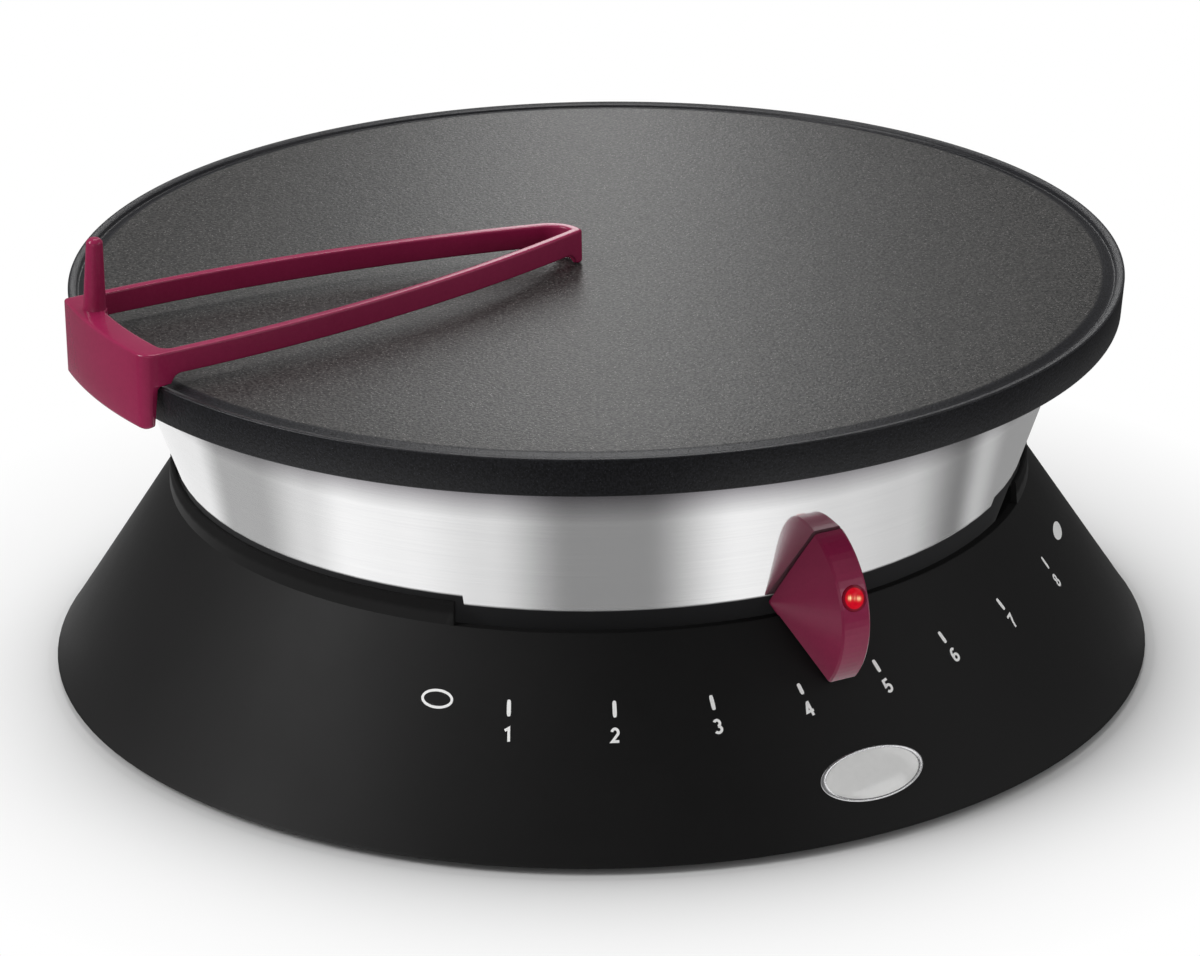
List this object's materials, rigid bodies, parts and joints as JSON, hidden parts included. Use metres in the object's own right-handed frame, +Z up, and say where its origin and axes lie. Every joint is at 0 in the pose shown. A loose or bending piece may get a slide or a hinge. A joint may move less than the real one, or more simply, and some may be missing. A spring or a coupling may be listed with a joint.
{
  "type": "electric crepe maker",
  "caption": "Round griddle plate on a tapering steel band and a black conical base, with a slider thermostat and a wedge-shaped batter spreader that hooks over the rim.",
  "frame": {"origin": "on the axis of the griddle plate, level with the bottom of the feet", "axes": "+Z up along the plate's axis; -Y towards the front, where the slider stands at mid travel; +X to the right seen from the front"},
  "size_m": [0.36, 0.36, 0.1642],
  "materials": {
    "black_plastic": "fine moulded grain",
    "rubber": "matt",
    "zinc_steel": "zinc plated",
    "band_steel": "bright, lightly brushed",
    "heat_felt": "pressed fibre",
    "coated_plate": "non-stick coat with fine flecks",
    "shield_aluminium": "rolled",
    "element_sheath": "oxidised",
    "ceramic": "glazed",
    "copper": "drawn",
    "moulded_block": "moulded",
    "brass": "turned",
    "plum_plastic": "smooth",
    "lamp_glass": "clear",
    "red_lens": "polished, translucent",
    "red_lead": "smooth sleeve",
    "glass_sleeve": "braided sleeve"
  },
  "bodies": {
    "base": {"base_skirt": "black_plastic", "bottom_cover": "black_plastic", "rubber_feet": "rubber", "cover_screws": "zinc_steel", "cord_gland": "rubber", "inner_tray": "zinc_steel", "tray_screws": "zinc_steel", "steel_band": "band_steel", "seal_ring": "heat_felt", "griddle_plate": "coated_plate", "tie_studs": "zinc_steel", "stud_nuts": "zinc_steel", "spacer_tubes": "zinc_steel", "heat_shield": "shield_aluminium", "heating_element": "element_sheath", "terminal_beads": "ceramic", "element_clamps": "zinc_steel", "clamp_screws": "zinc_steel", "sensor_bulb": "copper", "bulb_clip": "zinc_steel", "clip_screws": "zinc_steel", "thermostat_body": "moulded_block", "thermostat_screws": "zinc_steel", "thermal_cutout": "moulded_block", "terminal_block": "ceramic", "earth_screw": "brass", "tray_grommet": "rubber", "internal_wires": "glass_sleeve"},
    "slider": {"thermostat_spindle": "brass", "arm_hub": "brass", "hub_screw": "zinc_steel", "slider_arm": "zinc_steel", "slider_knob": "plum_plastic", "pilot_lamp": "lamp_glass", "lamp_lens": "red_lens", "lamp_leads": "red_lead"},
    "spreader": {"batter_spreader": "plum_plastic"}
  },
  "joints": [
    {"name": "slider_turn", "type": "hinge", "parent": "base", "child": "slider", "pos_m": [0, 0, 0.05], "axis": [0, 0, 1], "range_deg": [-40, 36.5]},
    {"name": "spreader_turn", "type": "hinge", "parent": "base", "child": "spreader", "pos_m": [0, 0, 0.13], "axis": [0, 0, 1], "continuous": true}
  ]
}
